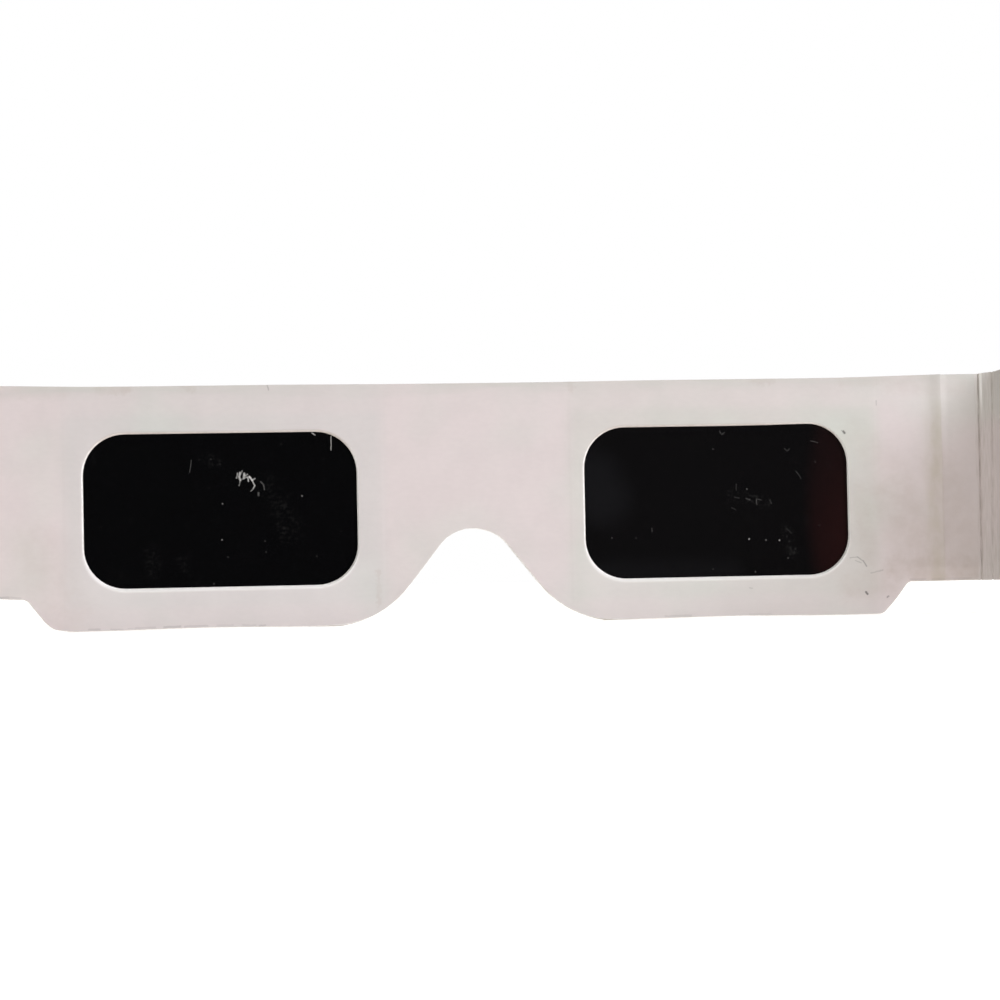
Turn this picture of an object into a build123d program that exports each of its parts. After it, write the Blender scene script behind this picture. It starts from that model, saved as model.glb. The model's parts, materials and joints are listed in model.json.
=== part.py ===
from build123d import *
import os
from math import cos, radians, sin, tan

# Paper eclipse glasses, standing on their lower edges with both arms partly folded in.
# The origin is the middle of the bridge, on the face turned to the sun, level with the
# middle of the windows. +X is to the wearer's right, +Y is the way the wearer looks,
# and +Z is up. Sizes are in millimetres and degrees.

# Sheets: an outer card with both arms, two filter films, and a liner on the wearer's side
card = 0.40
film = 0.12
die_bevel = 0.20

# Nose notch: a round top, two straight flanks and two flared feet
notch_height = 13.0
notch_radius = 5.8
notch_angle = 51.5
flare_radius = 14.6
foot_angle = 8.7

# Windows, each starting a little inside the notch's foot, and the rims above and below them
window_width = 37.3
window_height = 21.1
window_radius = 5.6
window_overlap = 2.1
lower_rim = 5.75
upper_rim = 6.65

# Outwards from each window: a lobe, a step up to the arm's lower edge, then the crease
lobe_margin = 6.2
temple_width = 14.4
step_height = 4.5
step_angle = 52.0
step_foot_radius = 1.5
step_head_radius = 1.2
liner_setback = 5.7

# Filter films, laid by hand, so that one reaches further past its window than the other
film_spare_width = 6.4
film_spare_height = 5.2
film_radius = 1.5
left_film_lap = 3.7
right_film_lap = 2.1

# Glue between the two cards, kept back from the cut edge
glue_margin = 0.4

# Crease: a narrow band with two score lines and a bead of crushed card between them
crease_width = 2.2
rest_fold = 35.0
fold_clearance = 0.30
bead_width = 1.45
bead_height = 0.22
score_depth = 0.10
score_radius = 0.12

# Arm, from the pivot line of its crease to the hook behind the ear
root_rise = 0.30
shoulder_rise = 0.65
shoulder_run = 1.3
root_run = 10.0
taper_run = 50.0
slim_height = 16.6
slim_run = 37.0
hollow_run = 13.0
toe_width = 12.0
heel_run = 9.0
heel_rise = 14.0
crown_run = 19.0
taper_radius = 40.0
hollow_radius = 9.0
toe_radius = 6.0
heel_radius = 10.0
crown_radius = 22.0

# Heights, counted from the lobes' lower edge
window_centre_height = lower_rim + window_height / 2
front_height = lower_rim + window_height + upper_rim
base_z = -window_centre_height

# The notch's flank is as long as its height leaves it
notch_turn = radians(notch_angle)
foot_turn = radians(foot_angle)
top_drop = notch_radius * (1 - cos(notch_turn))
flare_drop = flare_radius * (cos(foot_turn) - cos(notch_turn))
flank_length = (notch_height - top_drop - flare_drop) / sin(notch_turn)

# Places along the front, counted from its middle
notch_foot_x = (
    notch_radius * sin(notch_turn)
    + flank_length * cos(notch_turn)
    + flare_radius * (sin(notch_turn) - sin(foot_turn))
)
window_inner_x = notch_foot_x - window_overlap
window_spacing = 2 * window_inner_x + window_width
step_x = window_inner_x + window_width + lobe_margin
crease_x = step_x + temple_width
front_end = crease_x - crease_width / 2
liner_end = front_end - liner_setback

film_width = window_width + film_spare_width
film_height = window_height + film_spare_height
left_film_x = window_inner_x - left_film_lap + film_width / 2
right_film_x = window_inner_x - right_film_lap + film_width / 2

# An arm folded right over lies on the liner, so the pivot is halfway to it from the outer card
pivot_depth = (3 * card + film + fold_clearance) / 2

# The front lies in this plane, which starts on the sun's side and counts towards the wearer
front_plane = Plane(origin=(0, 0, base_z), x_dir=(1, 0, 0), z_dir=(0, -1, 0))
film_level = card
liner_level = card + film

# The right arm lies in this plane, which goes through the pivot line of its crease
fold = radians(rest_fold)
arm_plane = Plane(
    origin=(crease_x, -pivot_depth, base_z),
    x_dir=(cos(fold), -sin(fold), 0),
    z_dir=(-sin(fold), -cos(fold), 0),
)


def front_outline(end_x):
    """The front's outline, drawn for the wearer's right half as far as end_x, then mirrored."""
    half_step = step_height / tan(radians(step_angle)) / 2
    top = JernArc((0, notch_height), tangent=(1, 0), radius=notch_radius, arc_size=-notch_angle)
    flank = Line(top @ 1, top @ 1 + (top % 1) * flank_length)
    flare = JernArc(flank @ 1, tangent=flank % 1, radius=flare_radius, arc_size=notch_angle - foot_angle)
    FilletPolyline(
        flare @ 1,
        (step_x - half_step, 0),
        (step_x + half_step, step_height),
        (end_x, step_height),
        radius=[step_foot_radius, step_head_radius],
    )
    Polyline((end_x, step_height), (end_x, front_height), (0, front_height))
    mirror(about=Plane.YZ)


def windows():
    """The two window openings, cut from the sketch that is being drawn."""
    with GridLocations(window_spacing, 0, 2, 1):
        with Locations((0, window_centre_height)):
            RectangleRounded(window_width, window_height, window_radius, mode=Mode.SUBTRACT)


def film_shape(centre_x, mode=Mode.ADD):
    """One piece of film, as wide as it was cut."""
    with Locations((centre_x, window_centre_height)):
        RectangleRounded(film_width, film_height, film_radius, mode=mode)


# Outer card, between its two creases
with BuildPart() as outer_front:
    with BuildSketch(front_plane):
        with BuildLine():
            front_outline(front_end)
        make_face()
        windows()
    extrude(amount=card)
    sun_face = outer_front.faces().sort_by(Axis.Y)[-1]
    chamfer(sun_face.inner_wires().edges(), length=die_bevel)

# Liner, on the wearer's side, which stops short of the creases
with BuildPart() as wearer_liner:
    with BuildSketch(front_plane.offset(liner_level)):
        with BuildLine():
            front_outline(liner_end)
        make_face()
        windows()
    extrude(amount=card)
    wearer_face = wearer_liner.faces().sort_by(Axis.Y)[0]
    chamfer(wearer_face.inner_wires().edges(), length=die_bevel)

# Filter films, held between the cards
with BuildPart() as left_filter:
    with BuildSketch(front_plane.offset(film_level)):
        film_shape(-left_film_x)
    extrude(amount=film)

with BuildPart() as right_filter:
    with BuildSketch(front_plane.offset(film_level)):
        film_shape(right_film_x)
    extrude(amount=film)

# Glue, as thick as the films, filling the space around them
with BuildPart() as glue_layer:
    with BuildSketch(front_plane.offset(film_level)):
        with BuildLine():
            front_outline(liner_end)
        make_face()
        offset(amount=-glue_margin)
        film_shape(-left_film_x, mode=Mode.SUBTRACT)
        film_shape(right_film_x, mode=Mode.SUBTRACT)
    extrude(amount=film)

# Crease on the wearer's right: a band that bends by the rest fold, touching the front and
# the arm on their own lines. Its bead stands on the wearer's side, between the two scores.
band_bend = tan(fold / 2)
score_centre = card / 2 + score_radius - score_depth
band_radius = (crease_width / 2 + (pivot_depth - card / 2) * band_bend) / band_bend

with BuildPart() as right_crease:
    with BuildSketch(Plane.XY.offset(base_z + step_height)):
        with BuildLine():
            band = JernArc((front_end, -card / 2), tangent=(1, 0), radius=band_radius, arc_size=-rest_fold)
        trace(line_width=card)
        band_middle = Plane(origin=band @ 0.5, x_dir=band % 0.5, z_dir=(0, 0, 1))

        def on_band(along, depth):
            """A point of the crease's plan, along its band and deep from the band's middle line."""
            return band_middle.from_local_coords(Vector(along, -depth, 0))

        with BuildLine():
            bead_arc = ThreePointArc(
                on_band(-bead_width / 2, card / 2),
                on_band(0, card / 2 + bead_height),
                on_band(bead_width / 2, card / 2),
            )
            Polyline(bead_arc @ 1, on_band(0, 0), bead_arc @ 0)
        make_face()
        score_x = bead_width / 2 + score_radius
        with Locations(on_band(-score_x, score_centre), on_band(score_x, score_centre)):
            Circle(score_radius, mode=Mode.SUBTRACT)
    extrude(amount=front_height - step_height + root_rise)
    crease_top = Plane(
        origin=(front_end, 0, base_z + front_height),
        x_dir=(crease_width, 0, root_rise),
        z_dir=(-root_rise, 0, crease_width),
    )
    split(bisect_by=crease_top, keep=Keep.BOTTOM)

with BuildPart() as left_crease:
    mirror(right_crease.part, about=Plane.YZ)

# Arm on the wearer's right: a full-height root, a taper, a slim run over the ear, and a hook
arm_top = front_height + shoulder_rise
slim_bottom = arm_top - slim_height
slim_start = root_run + taper_run
hollow_start = slim_start + slim_run
toe_start = hollow_start + hollow_run
heel_start = toe_start + toe_width

with BuildPart() as right_arm:
    with BuildSketch(arm_plane.offset(-pivot_depth)):
        with BuildLine():
            edge = FilletPolyline(
                (crease_width / 2, step_height),
                (root_run, step_height),
                (slim_start, slim_bottom),
                (hollow_start, slim_bottom),
                (toe_start, 0),
                (heel_start, 0),
                (heel_start + heel_run, heel_rise),
                (heel_start + heel_run - crown_run, arm_top),
                (crease_width / 2 + shoulder_run, arm_top),
                radius=[
                    taper_radius,
                    taper_radius,
                    hollow_radius,
                    toe_radius,
                    toe_radius,
                    heel_radius,
                    crown_radius,
                ],
            )
            Polyline(edge @ 1, (crease_width / 2, front_height + root_rise), edge @ 0)
        make_face()
    extrude(amount=card)

with BuildPart() as left_arm:
    mirror(right_arm.part, about=Plane.YZ)

pieces = {
    "outer_front": outer_front,
    "wearer_liner": wearer_liner,
    "left_filter": left_filter,
    "right_filter": right_filter,
    "glue_layer": glue_layer,
    "left_crease": left_crease,
    "right_crease": right_crease,
    "left_arm": left_arm,
    "right_arm": right_arm,
}

os.makedirs("parts", exist_ok=True)
for name, piece in pieces.items():
    piece.part.label = name
    export_step(piece.part, f"parts/{name}.step")
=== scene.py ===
import json
import math

import bmesh
import bpy
from mathutils import Matrix, Vector, noise


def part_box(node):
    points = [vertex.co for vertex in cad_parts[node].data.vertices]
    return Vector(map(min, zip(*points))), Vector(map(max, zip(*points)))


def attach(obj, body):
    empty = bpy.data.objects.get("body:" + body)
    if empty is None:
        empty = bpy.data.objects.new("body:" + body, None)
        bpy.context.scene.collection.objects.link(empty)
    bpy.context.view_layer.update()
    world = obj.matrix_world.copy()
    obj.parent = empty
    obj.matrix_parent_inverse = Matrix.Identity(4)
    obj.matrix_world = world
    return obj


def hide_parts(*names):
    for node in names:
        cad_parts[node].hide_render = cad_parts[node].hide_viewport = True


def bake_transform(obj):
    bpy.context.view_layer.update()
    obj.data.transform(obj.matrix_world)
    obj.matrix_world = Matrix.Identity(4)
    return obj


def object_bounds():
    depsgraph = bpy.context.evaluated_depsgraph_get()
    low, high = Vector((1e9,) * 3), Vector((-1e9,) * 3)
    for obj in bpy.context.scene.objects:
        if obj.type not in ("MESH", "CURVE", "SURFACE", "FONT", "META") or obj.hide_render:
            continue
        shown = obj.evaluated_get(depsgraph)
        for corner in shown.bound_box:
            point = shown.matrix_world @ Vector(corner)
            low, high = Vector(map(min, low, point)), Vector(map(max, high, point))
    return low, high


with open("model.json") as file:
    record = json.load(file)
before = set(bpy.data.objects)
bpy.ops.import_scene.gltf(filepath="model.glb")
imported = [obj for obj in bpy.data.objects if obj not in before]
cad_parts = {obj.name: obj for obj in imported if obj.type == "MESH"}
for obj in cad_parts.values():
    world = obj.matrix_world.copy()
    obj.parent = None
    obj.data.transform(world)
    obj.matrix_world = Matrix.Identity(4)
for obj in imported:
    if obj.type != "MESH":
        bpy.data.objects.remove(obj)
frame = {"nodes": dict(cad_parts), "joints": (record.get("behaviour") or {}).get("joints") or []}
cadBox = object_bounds()
mm = 0.001

# Sizes from the frame, in mm

outerLow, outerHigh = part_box("outer_front")
frontEnd = outerHigh.x / mm
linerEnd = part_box("wearer_liner")[1].x / mm
card = -outerLow.y / mm
topEdge = outerHigh.z / mm
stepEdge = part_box("right_crease")[0].z / mm
pivots = {joint["name"]: Vector(joint["pos_m"]) / mm for joint in frame["joints"]}
restFold = math.radians(35)  # how far the arms are folded in at rest
print("frame loaded")

# Camera at the photograph's viewing angle

camera = {
    "place": (-33.0, -349.7, -9.3),  # mm, 350 mm in front of the liner
    "turn": 6.05,                    # degrees, towards the wearer's right
    "lookUp": 1.64,
    "roll": -1.16,
    "lens": 90.72,                   # mm, on a sensor 36 mm wide
    "sensor": 36.0,
}


def placeCamera():
    data = bpy.data.cameras.new("camera")
    data.lens = camera["lens"]
    data.sensor_width = camera["sensor"]
    data.clip_start = 0.01
    holder = bpy.data.objects.new("camera", data)
    holder.matrix_world = (
        Matrix.Translation(Vector(camera["place"]) * mm)
        @ Matrix.Rotation(math.radians(-camera["turn"]), 4, "Z")
        @ Matrix.Rotation(math.radians(90 + camera["lookUp"]), 4, "X")
        @ Matrix.Rotation(math.radians(camera["roll"]), 4, "Z")
    )
    bpy.context.scene.collection.objects.link(holder)
    bpy.context.scene.camera = holder


placeCamera()
print("camera placed")


# Nodes


def linear(code):
    # an sRGB hex value as linear red, green, blue and alpha
    parts = [int(code[place:place + 2], 16) / 255 for place in (1, 3, 5)]
    return tuple(v / 12.92 if v <= 0.04045 else ((v + 0.055) / 1.055) ** 2.4 for v in parts) + (1.0,)


def addNode(tree, kind, sockets, **settings):
    # a node with its settings made, and its sockets linked or set
    made = tree.nodes.new(kind)
    for setting, value in settings.items():
        setattr(made, setting, value)
    for socket, value in sockets.items():
        if isinstance(value, bpy.types.Node):
            value = value.outputs[0]
        if isinstance(value, bpy.types.NodeSocket):
            tree.links.new(value, made.inputs[socket])
        else:
            made.inputs[socket].default_value = value
    return made


def startMaterial(name, sockets):
    # a material with its shader's sockets set, and the object's own coordinates
    made = bpy.data.materials.new(name)
    made.use_nodes = True
    shader = made.node_tree.nodes["Principled BSDF"]
    for socket, value in sockets.items():
        shader.inputs[socket].default_value = value
    coords = addNode(made.node_tree, "ShaderNodeTexCoord", {}).outputs["Object"]
    return made, made.node_tree, shader, coords


def dress(tree, shader, colour, height):
    # gives the shader its colour, and a bump from the surface's height in mm
    tree.links.new(colour, shader.inputs["Base Color"])
    bump = addNode(tree, "ShaderNodeBump", {"Strength": 1.0, "Distance": mm, "Height": height})
    tree.links.new(bump.outputs[0], shader.inputs["Normal"])


def blendColours(tree, share, first, second):
    return addNode(tree, "ShaderNodeMix", {0: share, 6: first, 7: second}, data_type="RGBA").outputs[2]


def spread(tree, value, low, high, lowest=0.0, highest=1.0):
    # value's course from low to high, eased, as lowest to highest
    return addNode(
        tree,
        "ShaderNodeMapRange",
        {"Value": value, "From Min": low, "From Max": high, "To Min": lowest, "To Max": highest},
        interpolation_type="SMOOTHSTEP",
    )


def calculate(tree, operation, first, second):
    return addNode(tree, "ShaderNodeMath", {0: first, 1: second}, operation=operation)


def lumps(tree, coords, size, detail=2.0):
    # noise with lumps of about size mm, which may differ along x, y and z
    size = size if isinstance(size, tuple) else (size,) * 3
    scale = tuple(1 / (side * mm) for side in size)
    scaled = addNode(tree, "ShaderNodeVectorMath", {0: coords, 1: scale}, operation="MULTIPLY")
    made = addNode(tree, "ShaderNodeTexNoise", {"Vector": scaled, "Scale": 1.0, "Detail": detail})
    return made.outputs["Fac"]


def makeStroke():
    # a node group whose mask is 1 on a straight stroke and 0 at its width, in metres
    tree = bpy.data.node_groups.new("stroke", "ShaderNodeTree")
    sockets = {"Place": "Vector", "Start": "Vector", "Run": "Vector", "Width": "Float", "Strength": "Float"}
    for name, kind in sockets.items():
        tree.interface.new_socket(name, in_out="INPUT", socket_type="NodeSocket" + kind)
    tree.interface.new_socket("Mask", in_out="OUTPUT", socket_type="NodeSocketFloat")
    given = tree.nodes.new("NodeGroupInput").outputs
    place, run = given["Place"], given["Run"]
    offset = addNode(tree, "ShaderNodeVectorMath", {0: place, 1: given["Start"]}, operation="SUBTRACT")
    along = addNode(tree, "ShaderNodeVectorMath", {0: offset, 1: run}, operation="DOT_PRODUCT")
    square = addNode(tree, "ShaderNodeVectorMath", {0: run, 1: run}, operation="DOT_PRODUCT")
    share = addNode(
        tree,
        "ShaderNodeMath",
        {0: along.outputs["Value"], 1: square.outputs["Value"]},
        operation="DIVIDE",
        use_clamp=True,
    )
    nearest = addNode(tree, "ShaderNodeVectorMath", {0: run, "Scale": share}, operation="SCALE")
    gap = addNode(tree, "ShaderNodeVectorMath", {0: offset, 1: nearest}, operation="DISTANCE")
    gap = calculate(tree, "DIVIDE", gap.outputs["Value"], given["Width"])
    mask = calculate(tree, "MULTIPLY", spread(tree, gap, 1.0, 0.2), given["Strength"])
    addNode(tree, "NodeGroupOutput", {"Mask": mask})
    return tree


stroke = makeStroke()


def markMask(tree, coords, marks, wobble=0.1):
    # 0 to 1 where the strokes of marks lie, each shaken by about wobble mm
    shake = addNode(tree, "ShaderNodeTexNoise", {"Vector": coords, "Scale": 2.0 / mm, "Detail": 1.0})
    shake = shake.outputs["Color"]
    centred = addNode(tree, "ShaderNodeVectorMath", {0: shake, 1: (0.5, 0.5, 0.5)}, operation="SUBTRACT")
    reach = (2 * wobble * mm,) * 3
    shaken = addNode(
        tree,
        "ShaderNodeVectorMath",
        {0: centred, 1: reach, 2: coords},
        operation="MULTIPLY_ADD",
    )
    flat = addNode(tree, "ShaderNodeVectorMath", {0: shaken, 1: (1, 0, 1)}, operation="MULTIPLY")
    mask = None
    for x, z, endX, endZ, width, strength in marks:
        one = addNode(
            tree,
            "ShaderNodeGroup",
            {
                "Place": flat,
                "Start": (x * mm, 0, z * mm),
                "Run": ((endX - x + 0.001) * mm, 0, (endZ - z) * mm),  # never quite nothing
                "Width": width * mm,
                "Strength": strength,
            },
            node_tree=stroke,
        )
        mask = one if mask is None else calculate(tree, "MAXIMUM", mask, one)
    return mask


# Solid bleached board, calendered and bare: matt, off-white, with soft cloudy patches
# where the fibre is thicker, short fibres along the sheet and a fine tooth

boardLook = {
    "warm": "#D9CECC",
    "cool": "#D4CFCA",
    "patch": 16.0,       # mm, clouds of pinkish and greenish grey
    "endDrift": 0.16,    # share of greenish grey that the right end gains, high up
    "filmTints": ((0.935, 0.978, 0.970, 1), (0.920, 0.972, 0.938, 1)),  # where a film lies behind
    "filmStep": 0.014,   # mm that its edge prints through
    "cloud": 5.0,
    "fibre": (1.1, 1.1, 0.5),    # drawn many times as thick as a real fibre, to show
    "fibreHeight": 0.004,
    "tooth": 0.3,        # mm, coarser than real paper tooth, which would be too fine to show
    "toothHeight": 0.004,
    "wave": 9.0,
    "waveHeight": 0.04,
    "roughness": 0.82,
    "specular": 0.25,
    # the tone of the smudges, and of the painted shade beside the right crease
    "greyTone": "#BCADA4",
    "glueStain": "#B3AA8A",
    "stainReach": (3.2, 1.0),    # mm inside the liner's end, where the stain starts and is full
    "stainShares": (0.08, 0.30),
    "markTone": "#3A3532",
    "topEdgeGrey": "#C4C4BC",
    "topEdgeGreyReach": (14.8, 17.1),   # mm up, where the top edge's grey band starts and is full
    "topEdgeGreyShares": (0.2, 0.55),
}

# Marks and smudges are strokes: x, z, end x, end z and width in mm, and strength

linerMarks = (
    (53.0, 9.6, 53.15, 9.35, 0.26, 0.75),
    (52.7, 9.75, 52.95, 9.6, 0.12, 0.4),
    (55.7, -13.15, 55.9, -13.45, 0.24, 0.7),
    (58.75, -13.95, 58.95, -13.8, 0.18, 0.45),
    (53.5, -8.3, 54.5, -8.15, 0.13, 0.28),
    (54.5, -8.15, 55.4, -8.75, 0.13, 0.36),
    (55.4, -8.75, 55.85, -9.5, 0.15, 0.42),
    (54.3, -8.7, 55.1, -9.0, 0.12, 0.22),
    (56.5, -10.45, 58.2, -10.1, 0.16, 0.2),
    (57.79, 13.9, 57.85, 13.3, 0.13, 0.22),
    (39.0, -12.2, 39.4, -12.25, 0.14, 0.2),
    (-28.05, 17.1, -27.85, 16.5, 0.16, 0.3),
    # faint strokes along the lower edges, which draw a darker line along them
    (-49.9, -16.05, -48.3, -16.1, 0.14, 0.14),
    (-47.6, -16.0, -46.6, -16.1, 0.12, 0.12),
    (-65.8, -11.38, -63.6, -11.4, 0.24, 0.20),
    (-63.6, -11.4, -62.0, -11.52, 0.2, 0.12),
    (-52.9, -16.0, -51.4, -16.0, 0.2, 0.16),
    (-46.6, -15.95, -43.9, -15.92, 0.2, 0.12),
    (-42.7, -15.91, -40.5, -15.88, 0.24, 0.20),
    (-39.9, -15.87, -36.8, -15.83, 0.2, 0.14),
    (-35.4, -15.83, -33.3, -15.83, 0.2, 0.10),
    (-31.9, -15.86, -30.2, -15.92, 0.2, 0.10),
    (-29.7, -15.98, -28.9, -15.98, 0.2, 0.18),
    (26.9, -15.95, 30.6, -15.88, 0.22, 0.14),
    (38.9, -15.88, 42.0, -15.93, 0.2, 0.08),
    (62.2, -11.5, 64.4, -11.52, 0.22, 0.12),
    (65.4, -11.52, 71.2, -11.5, 0.24, 0.09),
)

linerSmudgesAndShade = (
    (-50.9, 17.1, -47.4, 17.0, 1.3, 0.5),
    (-39.4, 17.0, -38.5, 16.9, 1.0, 0.5),
    (40.4, 17.1, 42.6, 17.1, 1.1, 0.45),
    (-13.2, -8.8, -13.1, -13.4, 0.5, 0.3),
    (14.2, 17.1, 14.3, 16.2, 0.8, 0.4),
    (-73.0, 17.0, -56.0, 16.8, 1.8, 0.15),
    (53.0, 17.0, 65.0, 17.0, 1.5, 0.25),
    # the broad smudges beside the right crease, below its top edge, are painted shade
    (55.0, 9.0, 60.0, 4.0, 3.5, 0.18),
    (60.0, 0.5, 64.0, -9.0, 6.0, 0.34),
    (54.0, -12.2, 60.0, -11.8, 3.2, 0.28),
    (60.5, -10.0, 72.0, -10.2, 3.4, 0.56),
    (60.0, 16.4, 70.0, 16.4, 2.4, 0.2),
    (67.0, 4.0, 70.0, -8.0, 4.8, 0.28),
    (55.2, 1.0, 56.6, -8.5, 2.2, 0.24),
    (-60.0, -5.0, -56.0, -13.0, 5.5, 0.2),
)


def boardColour(tree, coords, look, fibre=None):
    # cloudy off-white, as a colour and the fibres' noise
    place = addNode(tree, "ShaderNodeSeparateXYZ", {0: coords}).outputs
    high = spread(tree, place["Z"], 4 * mm, 14 * mm, 0.0, look["endDrift"])
    drift = calculate(tree, "MULTIPLY", spread(tree, place["X"], 54 * mm, 64 * mm), high)
    share = calculate(tree, "ADD", lumps(tree, coords, look["patch"]), drift)
    share = spread(tree, share, 0.44, 0.76)
    colour = blendColours(tree, share, linear(look["warm"]), linear(look["cool"]))
    clouds = spread(tree, lumps(tree, coords, look["cloud"]), 0.3, 0.7, 0.98, 1.01)
    fibres = lumps(tree, coords, fibre or look["fibre"], 3.0)
    tint = calculate(tree, "MULTIPLY", clouds, spread(tree, fibres, 0.3, 0.7, 0.99, 1.008))
    colour = addNode(tree, "ShaderNodeVectorMath", {0: colour, "Scale": tint}, operation="SCALE")
    return colour.outputs[0], fibres


def overFilm(tree, place, low, high, soft):
    # 1 where the board lies over a film, which reaches from low to high sideways
    start = spread(tree, place["X"], low.x - soft, low.x + soft)
    end = spread(tree, place["X"], high.x + soft, high.x - soft)
    return calculate(tree, "MULTIPLY", start, end)


window = {
    "centre": 34.656,    # mm, from the middle of the bridge
    "halfWidth": 18.65,
    "halfHeight": 10.55,
    "radius": 5.6,
}

# The windows' rims are painted white below and on the right, as painted highlight, and greyer
# above and on the left, as painted shade, and a faint broad band below them is painted light.
# A row has the way along which its tone grows, where it starts and is full on that way, how
# many mm it reaches from the opening, its share and its tone

rimHighlightsAndShade = (
    ("up", 0.0, -0.8, 10.0, 0.115, "#FFFDFA"),
    ("up", 0.0, -0.8, 0.75, 0.72, "#FFFDFA"),
    ("right", 0.4, 0.9, 0.45, 0.9, "#FFFDFA"),
    ("right", -0.4, -0.9, 0.3, 0.3, "#BCADA4"),
    ("up", 0.2, 0.9, 0.6, 0.66, "#BCADA4"),
)


def paintRimHighlightsAndShade(tree, place, colour):
    straightX = (window["halfWidth"] - window["radius"]) * mm
    straightZ = (window["halfHeight"] - window["radius"]) * mm
    middle = calculate(tree, "SUBTRACT", calculate(tree, "ABSOLUTE", place["X"], 0), window["centre"] * mm)
    across = calculate(tree, "SUBTRACT", calculate(tree, "ABSOLUTE", middle, 0), straightX)
    across = calculate(tree, "MAXIMUM", across, 0)
    up = calculate(tree, "SUBTRACT", calculate(tree, "ABSOLUTE", place["Z"], 0), straightZ)
    up = calculate(tree, "MAXIMUM", up, 0)
    out = addNode(tree, "ShaderNodeCombineXYZ", {0: across, 1: up})
    length = addNode(tree, "ShaderNodeVectorMath", {0: out}, operation="LENGTH").outputs["Value"]
    gap = calculate(tree, "SUBTRACT", length, window["radius"] * mm)
    above = calculate(tree, "SIGN", place["Z"], 0)
    beside = calculate(tree, "SIGN", calculate(tree, "MULTIPLY", middle, place["X"]), 0)
    ways = {
        "up": calculate(tree, "MULTIPLY", calculate(tree, "DIVIDE", up, length), above),
        "right": calculate(tree, "MULTIPLY", calculate(tree, "DIVIDE", across, length), beside),
    }
    # each row paints highlight or shade on the rims
    for way, start, full, reach, share, tone in rimHighlightsAndShade:
        near = spread(tree, gap, reach * mm, 0.12 * mm, 0.0, share)  # full beside the opening
        toned = calculate(tree, "MULTIPLY", spread(tree, ways[way], start, full), near)
        colour = blendColours(tree, toned, colour, linear(tone))
    return colour


def soilAndShadeBoard(tree, coords, place, look, smudges, colour):
    # grey smudges where it was handled, and painted shade in the broad smudges beside the right crease
    soft = markMask(tree, coords, smudges, 0.6)
    broken = spread(tree, lumps(tree, coords, 1.6, 4.0), 0.25, 0.75, 0.4, 1.0)
    colour = blendColours(tree, calculate(tree, "MULTIPLY", soft, broken), colour, linear(look["greyTone"]))
    # glue that seeped out along the liner's right end has yellowed
    start, full = look["stainReach"]
    seep = spread(tree, place["X"], (linerEnd - start) * mm, (linerEnd - full) * mm)
    past = spread(tree, place["X"], (linerEnd + 0.5) * mm, linerEnd * mm)
    seep = calculate(tree, "MULTIPLY", seep, past)
    seep = calculate(tree, "MULTIPLY", seep, spread(tree, place["Z"], 16.5 * mm, 10.0 * mm))
    patchy = spread(tree, lumps(tree, coords, (1.5, 1.5, 3.0), 3.0), 0.3, 0.7, *look["stainShares"])
    seep = calculate(tree, "MULTIPLY", seep, patchy)
    colour = blendColours(tree, seep, colour, linear(look["glueStain"]))
    # and the top edge is greyer here and there
    low, high = look["topEdgeGreyReach"]
    top = spread(tree, place["Z"], low * mm, high * mm)
    toned = spread(tree, lumps(tree, coords, (14.0, 14.0, 2.0), 3.0), 0.42, 0.68, *look["topEdgeGreyShares"])
    return blendColours(tree, calculate(tree, "MULTIPLY", top, toned), colour, linear(look["topEdgeGrey"]))


def makeBoard(name, look, marks=(), smudges=(), films=()):
    made, tree, shader, coords = startMaterial(
        name, {"Roughness": look["roughness"], "IOR": 1.45, "Specular IOR Level": look["specular"]}
    )
    colour, fibres = boardColour(tree, coords, look)
    place = addNode(tree, "ShaderNodeSeparateXYZ", {0: coords}).outputs
    for (low, high), tint in zip(films, look["filmTints"]):
        # a film behind the board takes some of its glow, most of all the red
        height = calculate(tree, "ABSOLUTE", place["Z"], 0)
        height = spread(tree, height, high.z + 0.9 * mm, high.z - 0.9 * mm, 0.5, 1.0)
        inside = calculate(tree, "MULTIPLY", overFilm(tree, place, low, high, 1.5 * mm), height)
        veil = blendColours(tree, inside, (1, 1, 1, 1), tint)
        colour = addNode(tree, "ShaderNodeVectorMath", {0: colour, 1: veil}, operation="MULTIPLY")
        colour = colour.outputs[0]
    if films:
        # painted highlight and shade on the windows' rims
        colour = paintRimHighlightsAndShade(tree, place, colour)
    if smudges:
        # smudges, of which those beside the right crease are painted shade
        colour = soilAndShadeBoard(tree, coords, place, look, smudges, colour)
    if marks:
        colour = blendColours(tree, markMask(tree, coords, marks), colour, linear(look["markTone"]))
    height = calculate(tree, "MULTIPLY", lumps(tree, coords, look["tooth"]), look["toothHeight"])
    height = calculate(tree, "ADD", height, calculate(tree, "MULTIPLY", fibres, look["fibreHeight"]))
    waves = calculate(tree, "MULTIPLY", lumps(tree, coords, look["wave"]), look["waveHeight"])
    height = calculate(tree, "ADD", height, waves)
    for low, high in films:
        # a film's edge prints through as a faint step
        step = calculate(tree, "MULTIPLY", overFilm(tree, place, low, high, 0.3 * mm), look["filmStep"])
        height = calculate(tree, "ADD", height, step)
    dress(tree, shader, colour, height)
    return made


filmBoxes = [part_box("left_filter"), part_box("right_filter")]
linerBoard = makeBoard("linerBoard", boardLook, linerMarks, linerSmudgesAndShade, filmBoxes)
plainBoard = makeBoard("plainBoard", dict(boardLook, warm="#D4C9C7", cool="#CFCAC5", specular=0.08))

# The sun's side of the same board has a clay coating: whiter, smoother, with a slight sheen
coatedLook = dict(boardLook, warm="#EAE6E2", cool="#E7E6E1", roughness=0.5, specular=0.2, tooth=0.4)
coatedBoard = makeBoard("coatedBoard", coatedLook)

# Die-cut edge of the board: crushed white fibres in thin layers, rough and bright

edgeLook = {
    "layer": (0.5, 0.12, 0.5),   # mm
    "layerDepth": 0.05,
    "shade": "#E9E5DF",
    "light": "#FBFAF6",
    "greyTone": "#CFCBC2",
    "roughness": 0.95,
    "specular": 0.15,
}


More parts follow.
